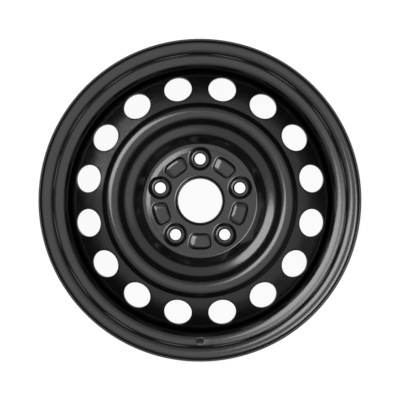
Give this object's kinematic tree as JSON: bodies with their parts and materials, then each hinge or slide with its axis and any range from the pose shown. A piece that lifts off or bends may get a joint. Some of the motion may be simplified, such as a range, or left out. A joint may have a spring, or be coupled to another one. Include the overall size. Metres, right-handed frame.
{
  "type": "steel wheel",
  "caption": "Pressed steel car wheel: a rolled rim with a welded disc, round vent holes, a stepped bowl, raised conical nut seats and a centre bore.",
  "frame": {"origin": "centre of the rim: on the axle, in the rim's mid plane, from which the wheel's offset is counted", "axes": "+Z along the axle towards the outboard face, +Y towards the first stud hole, with the valve hole on -Y"},
  "size_m": [0.4402, 0.44, 0.1896],
  "materials": {
    "black_paint": "semi-gloss dipped black paint over steel"
  },
  "bodies": {
    "root": {"rim": "black_paint", "disc": "black_paint", "weld_beads": "black_paint"}
  },
  "joints": []
}
